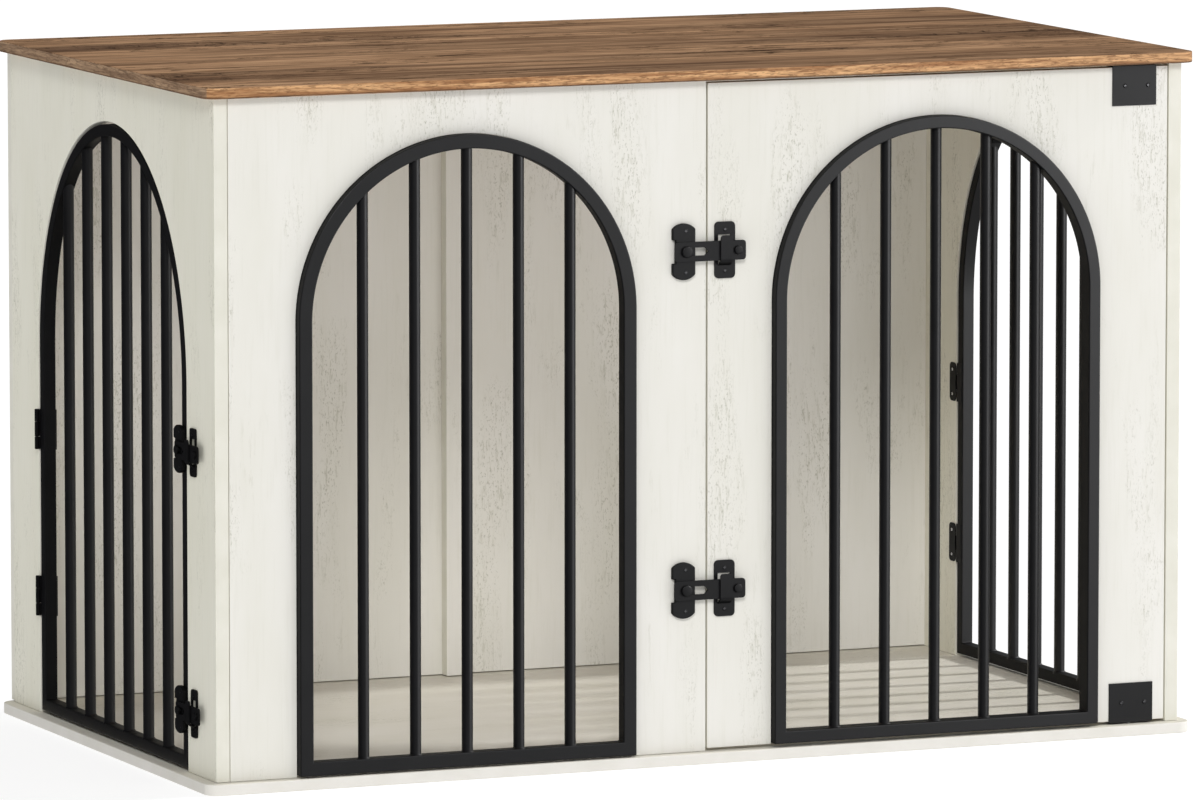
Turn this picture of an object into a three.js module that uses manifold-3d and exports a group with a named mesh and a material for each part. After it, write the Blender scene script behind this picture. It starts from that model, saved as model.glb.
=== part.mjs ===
// Dog crate end table: a boarded cabinet with a barred arched window, a barred front door and a
// barred metal door in each side. Millimetres, +X right, +Y to the back, +Z up. The origin is on
// the floor, under the middle of the base board.

import * as THREE from 'three';
import { mergeVertices } from 'three/addons/utils/BufferGeometryUtils.js';
import Module from 'manifold-3d';

const wasm = await Module();
wasm.setup();

// ---- Sizes: boards ----

const bodyWidth = 1120; // over the outer faces of the side panels
const bodyDepth = 636; // front edges of the side panels to the back of the cabinet
const panelHeight = 720; // between the base board and the top board
const boardThickness = 12; // top board and base board
const panelThickness = 15; // side panels, fixed front panel and front door panel
const backThickness = 12; // back panels
const sideOverhang = 13; // of the top and base boards past each side panel
const frontOverhang = 12; // of the top and base boards past the front
const boardCornerRadius = 16;
const boardEdgeChamfer = 1;
const battenWidth = 30; // upright inside the back, over the joint of the two back panels
const battenThickness = 15;
const battenOffset = -37; // from the middle of the cabinet to the joint

// ---- Sizes: front panels and their arched frames ----

const doorSideGap = 1.5; // between the front door panel and what stands on either side of it
const doorEndGap = 3; // between the front door panel and the boards above and below it
const frontArchHeadroom = 47; // top of both front frames below the top board
const windowMargin = 76; // window frame from the inner face of the left side panel
const doorArchSeamMargin = 75.25; // door frame from the edge of the door panel at the seam
const doorArchHingeMargin = 83.5; // door frame from the hinge edge of the door panel
const windowTubeWidth = 15;
const windowTubeDepth = 15;
const doorTubeWidth = 13.5;
const doorTubeDepth = 21;
const frameProud = 10; // both front frames in front of their panels
const windowLift = 2; // window frame above the base board
const doorFrameLift = 1; // door frame above the lower edge of the door panel
const frameJoint = 0.3; // joint between a frame and the panel around it
const tubeEdgeChamfer = 0.8;
const barDiameter = 12;
const barJoint = 0.3; // joint between a bar's end and its frame
const frontBarCount = 5;
const frontBarInset = 74; // middle of the outermost bars from the outside of the frame

// ---- Sizes: side doorways and side doors ----

const doorwayMargin = 83.5; // doorway from the front and rear edges of the side panel
const doorwayHeadroom = 51; // top of the doorway below the top board
const doorwayRise = 260; // of the half ellipse above its springing
const sideDoorGap = 3; // around each side door
const sideDoorRecess = 0.5; // side doors behind the outer faces of the side panels
const sideTubeWidth = 13;
const sideTubeDepth = 14;
const sideBarCount = 6;
const sideBarInset = 75.5; // middle of the outermost bars from the outside of the frame

// ---- Sizes: pivots of the front door ----

const pivotOffset = 40.5; // pivot axis from the hinge edge of the door panel
const pivotPlateWidth = 52.5;
const pivotPlateHeight = 42;
const pivotPlateThickness = 1.5;
const pivotPinRadius = 3;
const pivotPinLength = 8; // of the pin inside the board
const pivotBoreExtra = 1; // depth of the bore past the end of the pin
const pivotClearance = 0.3; // between the pin and its bore

// ---- Sizes: hinges of the side doors ----

const hingeHeights = { upper: 313, lower: 129.5 }; // middle of each hinge above the base board
const hingeHeight = 44;
const hingeBarrelRadius = 2.4;
const hingeStandoff = 0.3; // between the barrel and the outer face of the side panel
const hingeKnuckle = 16; // height of the fixed knuckle in the middle of the barrel
const hingeKnuckleGap = 0.4; // between the knuckles
const hingeLeafThickness = 1.1;
const hingeLeafWidth = 15.5; // of the fixed leaf on the inner face of the side panel
const hingeLeafCorner = 5;
const doorLeafThickness = 0.8;
const doorLeafWidth = 12; // of the door leaf on the inner face of the rear tube
const doorLeafSink = 0.2; // of the door leaf into the tube that it is welded to

// ---- Sizes: latches ----

const latchStack = {
  base: 5, // face of the base plate above the panel
  keeper: 2, // face of the keeper plate
  running: 0.3, // between the bar and what it slides over or under
  bar: 2.2, // thickness of the bar
  hookGap: 0.3, // between the bar and the hook in front of it
  hook: 1.6, // thickness of the hook
  head: 2.2, // height of the rivet head and of the thumb button
};
const hookRootDrop = 4.6; // root of the hook, in the keeper, below its bend
const hookCorner = 3;
const frontLatch = {
  heights: { upper: 538.2, lower: 175.2 }, // rivet above the base board
  rivetToEdge: 26.4, // rivet from the edge of the panel that carries the base
  baseRear: 15.2, // base from the rivet away from the keeper
  baseFront: 11.2, // base from the rivet towards the keeper
  plateHeight: 60.5, // base and keeper
  notchHalfHeight: 12.5,
  notchDepth: 3.6,
  archRise: 6,
  barRear: 13.7,
  barFront: 68.5,
  barHeight: 21,
  slotHeight: 8.6,
  slotFront: 25.1,
  keeperMiddle: 46.5,
  keeperWidth: 23.8,
  hookMiddle: 45.8,
  hookWidth: 14,
  hookTop: 16.2,
  headRadius: 6.2,
  buttonInset: 9, // middle of the button from the end of the bar
  buttonRadius: 4.7,
};
const sideLatch = {
  heights: { upper: 342, lower: 65 },
  rivetToEdge: 6.4,
  baseRear: 17.5,
  baseFront: 7.1,
  plateHeight: 51,
  notchHalfHeight: 10.6,
  notchDepth: 4.5,
  archRise: 5,
  barRear: 7.5,
  barFront: 59.2,
  barHeight: 18.2,
  slotHeight: 7.4,
  slotFront: 18,
  keeperMiddle: 31.3,
  keeperWidth: 17,
  hookMiddle: 31.3,
  hookWidth: 11,
  hookTop: 14,
  headRadius: 5,
  buttonInset: 7.4,
  buttonRadius: 4.4,
};

// ---- Places worked out from the sizes ----

const boardWidth = bodyWidth + 2 * sideOverhang;
const boardDepth = bodyDepth + frontOverhang;
const frontY = -boardDepth / 2 + frontOverhang; // front faces of the front panels
const backY = boardDepth / 2;
const innerBackY = backY - backThickness;
const innerFrontY = frontY + panelThickness;
const floorZ = boardThickness; // top of the base board
const ceilingZ = floorZ + panelHeight; // underside of the top board
const sideX = bodyWidth / 2; // outer faces of the side panels
const innerSideX = sideX - panelThickness;
const seamX = 0; // middle of the seam between the fixed panel and the door panel
const doorLeftX = seamX + doorSideGap / 2;
const doorRightX = innerSideX - doorSideGap;
const doorLowZ = floorZ + doorEndGap;
const doorHighZ = ceilingZ - doorEndGap;
const pivotX = doorRightX - pivotOffset;
const pivotY = frontY + panelThickness / 2;
const frontArchRadius = (doorRightX - doorLeftX - doorArchSeamMargin - doorArchHingeMargin) / 2;
const springZ = ceilingZ - frontArchHeadroom - frontArchRadius; // where both front arches begin
const frontBarPitch = (2 * (frontArchRadius - frontBarInset)) / (frontBarCount - 1);
const doorwayY = (frontY + innerBackY) / 2; // middle of each side doorway
const doorwayWidth = innerBackY - frontY - 2 * doorwayMargin;
const sideDoorWidth = doorwayWidth - 2 * sideDoorGap;
const sideBarPitch = (sideDoorWidth - 2 * sideBarInset) / (sideBarCount - 1);

const materials = {
  whiteBoard: { color: 0xe8e6e0, roughness: 0.6, metalness: 0 },
  walnutBoard: { color: 0x86623f, roughness: 0.55, metalness: 0 },
  blackMetal: { color: 0x2b2b2e, roughness: 0.5, metalness: 0.4 },
};
const model = new THREE.Group();

// ---- Building helpers ----

function addPart(name, geometry, material, parent = model) {
  const mesh = new THREE.Mesh(geometry, new THREE.MeshStandardMaterial(materials[material]));
  mesh.name = name;
  parent.add(mesh);
  return mesh;
}

function solidOf(geometry) {
  const bare = geometry.clone();
  bare.deleteAttribute('normal');
  bare.deleteAttribute('uv');
  const merged = mergeVertices(bare, 1e-4);
  const mesh = new wasm.Mesh({
    numProp: 3,
    vertProperties: new Float32Array(merged.attributes.position.array),
    triVerts: new Uint32Array(merged.index.array),
  });
  return new wasm.Manifold(mesh);
}

function geometryOf(solid) {
  const mesh = solid.getMesh();
  const geometry = new THREE.BufferGeometry();
  geometry.setAttribute('position', new THREE.BufferAttribute(new Float32Array(mesh.vertProperties), 3));
  geometry.setIndex(new THREE.BufferAttribute(new Uint32Array(mesh.triVerts), 1));
  return geometry;
}

// A shape extruded to the given thickness, with its outline chamfered if a chamfer is given.
function extruded(shape, thickness, chamfer = 0) {
  const geometry = new THREE.ExtrudeGeometry(shape, {
    depth: thickness - 2 * chamfer,
    steps: 1,
    bevelEnabled: chamfer > 0,
    bevelThickness: chamfer,
    bevelSize: chamfer,
    bevelOffset: -chamfer,
    bevelSegments: 1,
  });
  return geometry.translate(0, 0, chamfer);
}

// A shape drawn in X and Z that fills the Y range from yFront to yBack.
function facingFront(shape, yFront, yBack, chamfer = 0) {
  const geometry = extruded(shape, yBack - yFront, chamfer);
  return geometry.rotateX(Math.PI / 2).translate(0, yBack, 0);
}

// A shape drawn in Y and Z that fills the X range from xLow to xHigh.
function facingSide(shape, xLow, xHigh, chamfer = 0) {
  const geometry = extruded(shape, xHigh - xLow, chamfer);
  const turn = new THREE.Matrix4().makeBasis(
    new THREE.Vector3(0, 1, 0),
    new THREE.Vector3(0, 0, 1),
    new THREE.Vector3(1, 0, 0),
  );
  return geometry.applyMatrix4(turn).translate(xLow, 0, 0);
}

// A shape drawn in X and Y that fills the Z range from zLow to zHigh.
function lyingFlat(shape, zLow, zHigh, chamfer = 0) {
  return extruded(shape, zHigh - zLow, chamfer).translate(0, 0, zLow);
}

function box(xLow, xHigh, yLow, yHigh, zLow, zHigh) {
  const geometry = new THREE.BoxGeometry(xHigh - xLow, yHigh - yLow, zHigh - zLow);
  return geometry.translate((xLow + xHigh) / 2, (yLow + yHigh) / 2, (zLow + zHigh) / 2);
}

function uprightCylinder(radius, x, y, zLow, zHigh, sides = 24) {
  const geometry = new THREE.CylinderGeometry(radius, radius, zHigh - zLow, sides);
  return geometry.rotateX(Math.PI / 2).translate(x, y, (zLow + zHigh) / 2);
}

function points(pairs) {
  return pairs.map(([x, y]) => new THREE.Vector2(x, y));
}

// Points along an arc of an ellipse, both ends included.
function arcPoints(cx, cy, rx, ry, start, end, steps) {
  const list = [];
  for (let i = 0; i <= steps; i += 1) {
    const angle = start + ((end - start) * i) / steps;
    list.push([cx + rx * Math.cos(angle), cy + ry * Math.sin(angle)]);
  }
  return list;
}

function roundedRectangle(xLow, xHigh, yLow, yHigh, radius, steps = 6) {
  const quarter = Math.PI / 2;
  return new THREE.Shape(points([
    ...arcPoints(xHigh - radius, yLow + radius, radius, radius, -quarter, 0, steps),
    ...arcPoints(xHigh - radius, yHigh - radius, radius, radius, 0, quarter, steps),
    ...arcPoints(xLow + radius, yHigh - radius, radius, radius, quarter, 2 * quarter, steps),
    ...arcPoints(xLow + radius, yLow + radius, radius, radius, 2 * quarter, 3 * quarter, steps),
  ]));
}

// ---- Arches: {middle, bottom, spring, halfWidth, rise}, drawn along one wall of the cabinet ----

const archSteps = 36;

function grown(arch, by) {
  return {
    ...arch,
    bottom: arch.bottom - by,
    halfWidth: arch.halfWidth + by,
    rise: arch.rise + by,
  };
}

function archOutline(arch) {
  return points([
    [arch.middle - arch.halfWidth, arch.bottom],
    [arch.middle + arch.halfWidth, arch.bottom],
    ...arcPoints(arch.middle, arch.spring, arch.halfWidth, arch.rise, 0, Math.PI, archSteps),
  ]);
}

// A frame of square tube that follows the arch, with its outside on the arch.
function archFrame(arch, tubeWidth) {
  const shape = new THREE.Shape(archOutline(arch));
  shape.holes.push(new THREE.Path(archOutline(grown(arch, -tubeWidth))));
  return shape;
}

// A board whose lower edge is cut open by the arch.
function archedBoard(low, high, bottom, top, arch) {
  return new THREE.Shape(points([
    [low, bottom],
    [arch.middle - arch.halfWidth, bottom],
    ...arcPoints(arch.middle, arch.spring, arch.halfWidth, arch.rise, Math.PI, 0, archSteps),
    [arch.middle + arch.halfWidth, bottom],
    [high, bottom],
    [high, top],
    [low, top],
  ]));
}

const windowArch = {
  middle: -innerSideX + windowMargin + frontArchRadius,
  bottom: floorZ + windowLift,
  spring: springZ,
  halfWidth: frontArchRadius,
  rise: frontArchRadius,
};
const doorArch = {
  ...windowArch,
  middle: doorLeftX + doorArchSeamMargin + frontArchRadius,
  bottom: doorLowZ + doorFrameLift,
};
const doorwayArch = {
  middle: doorwayY,
  bottom: floorZ,
  spring: ceilingZ - doorwayHeadroom - doorwayRise,
  halfWidth: doorwayWidth / 2,
  rise: doorwayRise,
};
const sideDoorArch = { ...grown(doorwayArch, -sideDoorGap), bottom: floorZ + sideDoorGap };

// Bars stand on the lower tube and end on the arch, each cut to its curve.
function addBars(prefix, arch, tubeWidth, count, pitch, wall) {
  const opening = grown(arch, -tubeWidth - barJoint);
  const prism = solidOf(wall.extrude(new THREE.Shape(archOutline(opening))));
  const reach = barDiameter;
  for (let i = 0; i < count; i += 1) {
    const along = arch.middle + (i - (count - 1) / 2) * pitch;
    const [x, y] = wall.place(along);
    const low = opening.bottom - reach;
    const high = opening.spring + opening.rise + reach;
    const rod = solidOf(uprightCylinder(barDiameter / 2, x, y, low, high, 16));
    addPart(`${prefix}_bar_${i + 1}`, geometryOf(rod.intersect(prism)), 'blackMetal');
  }
}

// ---- Boards ----

function pivotBore(zLow, zHigh) {
  return solidOf(uprightCylinder(pivotPinRadius + pivotClearance, pivotX, pivotY, zLow, zHigh));
}

const boardOutline = roundedRectangle(
  -boardWidth / 2, boardWidth / 2, -boardDepth / 2, boardDepth / 2, boardCornerRadius,
);
const boreDepth = pivotPinLength + pivotBoreExtra;
const boreRunOut = 1;

const topBlank = solidOf(lyingFlat(boardOutline, ceilingZ, ceilingZ + boardThickness, boardEdgeChamfer));
const topBore = pivotBore(ceilingZ - boreRunOut, ceilingZ + boreDepth);
addPart('top_board', geometryOf(topBlank.subtract(topBore)), 'walnutBoard');

const baseBlank = solidOf(lyingFlat(boardOutline, 0, floorZ, boardEdgeChamfer));
const baseBore = pivotBore(floorZ - boreDepth, floorZ + boreRunOut);
addPart('base_board', geometryOf(baseBlank.subtract(baseBore)), 'whiteBoard');

const sidePanelShape = archedBoard(frontY, innerBackY, floorZ, ceilingZ, doorwayArch);
addPart('left_side_panel', facingSide(sidePanelShape, -sideX, -innerSideX), 'whiteBoard');
addPart('right_side_panel', facingSide(sidePanelShape, innerSideX, sideX), 'whiteBoard');

const windowCut = grown(windowArch, frameJoint);
const fixedPanelShape = archedBoard(-innerSideX, seamX - doorSideGap / 2, floorZ, ceilingZ, windowCut);
addPart('fixed_front_panel', facingFront(fixedPanelShape, frontY, innerFrontY), 'whiteBoard');

const doorCut = grown(doorArch, frameJoint);
const doorPanelShape = archedBoard(doorLeftX, doorRightX, doorLowZ, doorHighZ, doorCut);
addPart('front_door_panel', facingFront(doorPanelShape, frontY, innerFrontY), 'whiteBoard');

const backs = { back_panel_left: [-sideX, battenOffset], back_panel_right: [battenOffset, sideX] };
for (const [name, [xLow, xHigh]] of Object.entries(backs)) {
  addPart(name, box(xLow, xHigh, innerBackY, backY, floorZ, ceilingZ), 'whiteBoard');
}
const battenLeftX = battenOffset - battenWidth / 2;
const battenRightX = battenOffset + battenWidth / 2;
const battenFrontY = innerBackY - battenThickness;
const batten = box(battenLeftX, battenRightX, battenFrontY, innerBackY, floorZ, ceilingZ);
addPart('back_batten', batten, 'whiteBoard');

// ---- Front frames and bars ----

const frameFrontY = frontY - frameProud;

function frontWall(tubeDepth) {
  return {
    extrude: (shape) => facingFront(shape, frameFrontY, frameFrontY + tubeDepth),
    place: (x) => [x, frameFrontY + tubeDepth / 2],
  };
}

function addFrontFrame(name, arch, tubeWidth, tubeDepth) {
  const shape = archFrame(arch, tubeWidth);
  const frame = facingFront(shape, frameFrontY, frameFrontY + tubeDepth, tubeEdgeChamfer);
  addPart(name, frame, 'blackMetal');
}

addFrontFrame('window_frame', windowArch, windowTubeWidth, windowTubeDepth);
addBars('window', windowArch, windowTubeWidth, frontBarCount, frontBarPitch, frontWall(windowTubeDepth));
addFrontFrame('front_door_frame', doorArch, doorTubeWidth, doorTubeDepth);
addBars('front_door', doorArch, doorTubeWidth, frontBarCount, frontBarPitch, frontWall(doorTubeDepth));

// ---- Front door pivots: a plate on the door's face, a flange over its edge and a pin ----

function pivotPlate(up) {
  const edgeZ = up > 0 ? doorHighZ : doorLowZ;
  const outerZ = edgeZ + up * pivotPlateThickness;
  const innerZ = edgeZ - up * pivotPlateHeight;
  const pinEndZ = (up > 0 ? ceilingZ : floorZ) + up * pivotPinLength;
  const plateFrontY = frontY - pivotPlateThickness;
  const profile = new THREE.Shape(points([
    [plateFrontY, innerZ],
    [frontY, innerZ],
    [frontY, edgeZ],
    [innerFrontY, edgeZ],
    [innerFrontY, outerZ],
    [plateFrontY, outerZ],
  ]));
  const half = pivotPlateWidth / 2;
  const plate = solidOf(facingSide(profile, pivotX - half, pivotX + half));
  const pinLow = Math.min(pinEndZ, edgeZ + (up * pivotPlateThickness) / 2);
  const pinHigh = Math.max(pinEndZ, edgeZ + (up * pivotPlateThickness) / 2);
  const pin = solidOf(uprightCylinder(pivotPinRadius, pivotX, pivotY, pinLow, pinHigh));
  return geometryOf(plate.add(pin));
}

addPart('upper_pivot_plate', pivotPlate(1), 'blackMetal');
addPart('lower_pivot_plate', pivotPlate(-1), 'blackMetal');

// ---- Side doors and their hinges, drawn for the right side and mirrored for the left ----

function mirroredInX(geometry) {
  const mirror = geometry.index ? geometry.clone() : mergeVertices(geometry);
  mirror.scale(-1, 1, 1);
  const corners = mirror.index.array;
  for (let i = 0; i < corners.length; i += 3) {
    [corners[i + 1], corners[i + 2]] = [corners[i + 2], corners[i + 1]];
  }
  return mirror;
}

const sideDoorOuterX = sideX - sideDoorRecess;
const sideDoorInnerX = sideDoorOuterX - sideTubeDepth;
const hingeX = sideX + hingeStandoff + hingeBarrelRadius;
const doorwayRearY = doorwayY + doorwayWidth / 2;
const sideDoorRearY = doorwayRearY - sideDoorGap;
const hingeY = (doorwayRearY + sideDoorRearY) / 2;

// The hinge parts that are welded to the door: two knuckles and the leaf, which wraps the rear tube.
function doorHingePieces(middleZ) {
  const leafFrontY = sideDoorRearY - doorLeafSink;
  const leafRearY = sideDoorRearY + doorLeafThickness;
  const lowZ = middleZ - hingeHeight / 2;
  const highZ = middleZ + hingeHeight / 2;
  const leafInnerX = sideDoorInnerX - hingeLeafThickness;
  const leaf = box(leafInnerX, sideDoorOuterX, leafFrontY, leafRearY, lowZ, highZ);
  const flangeFrontY = sideDoorRearY - doorLeafWidth;
  const flange = box(leafInnerX, sideDoorInnerX + doorLeafSink, flangeFrontY, leafRearY, lowZ, highZ);
  const pieces = [solidOf(leaf), solidOf(flange)];
  const innerHalf = hingeKnuckle / 2 + hingeKnuckleGap;
  for (const [from, to] of [[lowZ, middleZ - innerHalf], [middleZ + innerHalf, highZ]]) {
    pieces.push(solidOf(uprightCylinder(hingeBarrelRadius, hingeX, hingeY, from, to, 16)));
    const web = box(sideDoorOuterX - doorLeafThickness, hingeX, leafFrontY, leafRearY, from, to);
    pieces.push(solidOf(web));
  }
  return pieces;
}

// The fixed leaf: a knuckle outside, a web through the gap and a plate on the panel's inner face.
function fixedHingeLeaf(middleZ) {
  const lowZ = middleZ - hingeKnuckle / 2;
  const highZ = middleZ + hingeKnuckle / 2;
  const webFrontY = doorwayRearY - hingeLeafThickness;
  const plateOuterX = innerSideX;
  const plateInnerX = innerSideX - hingeLeafThickness;
  const knuckle = solidOf(uprightCylinder(hingeBarrelRadius, hingeX, hingeY, lowZ, highZ, 16));
  const web = solidOf(box(plateInnerX, hingeX, webFrontY, doorwayRearY, lowZ, highZ));
  const plateShape = roundedRectangle(
    webFrontY, doorwayRearY + hingeLeafWidth, middleZ - hingeHeight / 2, middleZ + hingeHeight / 2,
    hingeLeafCorner, 4,
  );
  const plate = solidOf(facingSide(plateShape, plateInnerX, plateOuterX));
  return geometryOf(knuckle.add(web).add(plate));
}

function sideDoorFrame() {
  const shape = archFrame(sideDoorArch, sideTubeWidth);
  let frame = solidOf(facingSide(shape, sideDoorInnerX, sideDoorOuterX, tubeEdgeChamfer));
  for (const height of Object.values(hingeHeights)) {
    for (const piece of doorHingePieces(floorZ + height)) {
      frame = frame.add(piece);
    }
  }
  return geometryOf(frame);
}

for (const side of ['left', 'right']) {
  const onSide = (geometry) => (side === 'left' ? mirroredInX(geometry) : geometry);
  addPart(`${side}_door_frame`, onSide(sideDoorFrame()), 'blackMetal');
  const barX = (side === 'left' ? -1 : 1) * (sideDoorOuterX - sideTubeDepth / 2);
  const wall = {
    extrude: (shape) => facingSide(shape, barX - barDiameter, barX + barDiameter),
    place: (y) => [barX, y],
  };
  addBars(`${side}_door`, sideDoorArch, sideTubeWidth, sideBarCount, sideBarPitch, wall);
  for (const [level, height] of Object.entries(hingeHeights)) {
    addPart(`${side}_${level}_hinge_leaf`, onSide(fixedHingeLeaf(floorZ + height)), 'blackMetal');
  }
}

// ---- Latches: drawn with the rivet at the origin, the bar along +X and the panel's face at y = 0 ----

const latchLevels = {
  bar: latchStack.base + latchStack.running,
  barFace: latchStack.base + latchStack.running + latchStack.bar,
};
const latchHeadStart = latchLevels.barFace + latchStack.running;
const latchHookStart = latchLevels.barFace + latchStack.hookGap;

function latchDisc(x, radius, from, to, sides = 20) {
  const disc = new THREE.CylinderGeometry(radius, radius, to - from, sides);
  return solidOf(disc.translate(x, -(from + to) / 2, 0));
}

function latchBase(size) {
  const half = size.plateHeight / 2;
  const shoulder = half - size.archRise;
  const middle = (size.baseFront - size.baseRear) / 2;
  const halfWidth = (size.baseFront + size.baseRear) / 2;
  const radius = (halfWidth ** 2 + size.archRise ** 2) / (2 * size.archRise);
  const sweep = Math.asin(halfWidth / radius);
  const quarter = Math.PI / 2;
  const top = arcPoints(middle, half - radius, radius, radius, quarter - sweep, quarter + sweep, 8);
  const notchX = size.notchDepth - size.baseRear;
  const shape = new THREE.Shape(points([
    [size.baseFront, -shoulder],
    ...top,
    [-size.baseRear, size.notchHalfHeight],
    [notchX, size.notchHalfHeight],
    [notchX, -size.notchHalfHeight],
    [-size.baseRear, -size.notchHalfHeight],
    ...top.map(([x, z]) => [x, -z]).reverse().slice(0, -1),
  ]));
  const plate = solidOf(facingFront(shape, -latchStack.base, 0));
  const shank = size.slotHeight / 2 - latchStack.running;
  const rivet = latchDisc(0, shank, latchStack.base / 2, latchHeadStart + latchStack.head / 2);
  const head = latchDisc(0, size.headRadius, latchHeadStart, latchHeadStart + latchStack.head);
  return geometryOf(plate.add(rivet).add(head));
}

function latchBar(size) {
  const half = size.barHeight / 2;
  const corner = half / 3;
  const shape = roundedRectangle(-size.barRear, size.barFront, -half, half, corner, 4);
  const slotHalf = size.slotHeight / 2;
  shape.holes.push(new THREE.Path(points([
    ...arcPoints(0, 0, slotHalf, slotHalf, Math.PI / 2, (3 * Math.PI) / 2, 10),
    [size.slotFront - slotHalf, -slotHalf],
    [size.slotFront, 0],
    [size.slotFront - slotHalf, slotHalf],
  ])));
  const strip = solidOf(facingFront(shape, -latchLevels.barFace, -latchLevels.bar));
  const buttonX = size.barFront - size.buttonInset;
  const buttonRoot = (latchLevels.bar + latchLevels.barFace) / 2;
  const button = latchDisc(buttonX, size.buttonRadius, buttonRoot, latchHeadStart + latchStack.head);
  return geometryOf(strip.add(button));
}

function latchKeeper(size) {
  const half = size.plateHeight / 2;
  const left = size.keeperMiddle - size.keeperWidth / 2;
  const right = left + size.keeperWidth;
  const hookLeft = size.hookMiddle - size.hookWidth / 2;
  const hookRight = size.hookMiddle + size.hookWidth / 2;
  const hookLow = -size.barHeight / 2 - latchStack.running - latchStack.hook;
  const plateCorner = size.keeperWidth / 5;
  const shape = roundedRectangle(left, right, -half, half, plateCorner, 5);
  const rootLow = hookLow - hookRootDrop; // the hook is bent out of a window in the plate
  shape.holes.push(new THREE.Path(points([
    [hookLeft - latchStack.hookGap, rootLow + latchStack.hook],
    [hookRight + latchStack.hookGap, rootLow + latchStack.hook],
    [hookRight + latchStack.hookGap, size.hookTop + 2 * latchStack.hookGap],
    [hookLeft - latchStack.hookGap, size.hookTop + 2 * latchStack.hookGap],
  ])));
  const plate = solidOf(facingFront(shape, -latchStack.keeper, 0));
  const faceY = -latchHookStart - latchStack.hook;
  const bendZ = hookLow + latchStack.hook;
  const profile = new THREE.Shape(points([
    [-latchStack.keeper / 2, rootLow],
    [-latchStack.keeper / 2, rootLow + latchStack.hook],
    [-latchHookStart, bendZ],
    [-latchHookStart, size.hookTop],
    [faceY, size.hookTop],
    [faceY, hookLow],
  ]));
  const strip = solidOf(facingSide(profile, hookLeft, hookRight));
  const quarter = Math.PI / 2;
  const outline = new THREE.Shape(points([
    [hookLeft, rootLow],
    [hookRight, rootLow],
    ...arcPoints(hookRight - hookCorner, size.hookTop - hookCorner, hookCorner, hookCorner, 0, quarter, 4),
    ...arcPoints(
      hookLeft + hookCorner, size.hookTop - hookCorner, hookCorner, hookCorner, quarter, 2 * quarter, 4,
    ),
  ]));
  const hook = strip.intersect(solidOf(facingFront(outline, faceY, 0)));
  return geometryOf(plate.add(hook));
}

const latchMakers = { base: latchBase, bar: latchBar, keeper: latchKeeper };

function addLatch(prefix, size, place) {
  for (const [level, height] of Object.entries(size.heights)) {
    const group = new THREE.Group();
    group.position.set(place.x, place.y, floorZ + height);
    group.rotation.z = place.turn;
    model.add(group);
    for (const [piece, make] of Object.entries(latchMakers)) {
      const geometry = place.mirrored ? mirroredInX(make(size)) : make(size);
      addPart(`${prefix}_${level}_latch_${piece}`, geometry, 'blackMetal', group);
    }
  }
}

const frontRivetX = seamX - frontLatch.rivetToEdge;
const sideRivetY = doorwayY - doorwayWidth / 2 + sideDoorGap + sideLatch.rivetToEdge;
addLatch('front', frontLatch, { x: frontRivetX, y: frontY, turn: 0, mirrored: false });
addLatch('left', sideLatch, { x: -sideX, y: sideRivetY, turn: -Math.PI / 2, mirrored: false });
addLatch('right', sideLatch, { x: sideX, y: sideRivetY, turn: Math.PI / 2, mirrored: true });

export default model;
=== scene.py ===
"""Looks of the dog crate end table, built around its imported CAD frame. Metres, +X right, +Y back, +Z up."""

import math

import bmesh
import bpy
from mathutils import Matrix, Vector


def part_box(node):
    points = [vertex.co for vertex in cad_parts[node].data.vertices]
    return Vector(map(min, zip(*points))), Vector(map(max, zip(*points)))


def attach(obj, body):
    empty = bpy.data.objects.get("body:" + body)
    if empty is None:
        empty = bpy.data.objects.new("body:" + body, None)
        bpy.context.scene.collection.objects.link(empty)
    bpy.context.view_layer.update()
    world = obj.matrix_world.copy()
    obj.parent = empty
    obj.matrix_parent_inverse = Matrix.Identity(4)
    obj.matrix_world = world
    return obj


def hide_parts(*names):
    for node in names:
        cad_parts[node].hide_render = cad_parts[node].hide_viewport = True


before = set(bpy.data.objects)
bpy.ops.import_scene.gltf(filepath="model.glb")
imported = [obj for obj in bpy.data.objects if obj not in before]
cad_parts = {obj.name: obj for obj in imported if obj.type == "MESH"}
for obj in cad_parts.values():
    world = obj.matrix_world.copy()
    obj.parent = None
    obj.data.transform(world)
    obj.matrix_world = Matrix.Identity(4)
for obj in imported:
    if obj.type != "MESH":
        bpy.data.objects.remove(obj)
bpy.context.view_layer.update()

MM = 0.001
QUARTER = math.pi / 2
UP = (0, 0, 1)

# ---- Places read from the frame ----

base_low, base_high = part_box("base_board")
top_low, top_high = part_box("top_board")
fixed_low, fixed_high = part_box("fixed_front_panel")
door_low, door_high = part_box("front_door_panel")
side_low, side_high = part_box("right_side_panel")
window_low, window_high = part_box("window_frame")
door_frame_low, door_frame_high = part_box("front_door_frame")
_, leaf_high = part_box("right_upper_hinge_leaf")

FLOOR_Z = base_high.z  # of the cabin, on the base board
CEILING_Z = top_low.z
FRONT_Y = fixed_low.y
SIDE_X = side_high.x
DOORWAY_Y = (side_low.y + side_high.y) / 2  # middle of each side doorway

# ---- Sizes that repeat the CAD's ----

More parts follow.
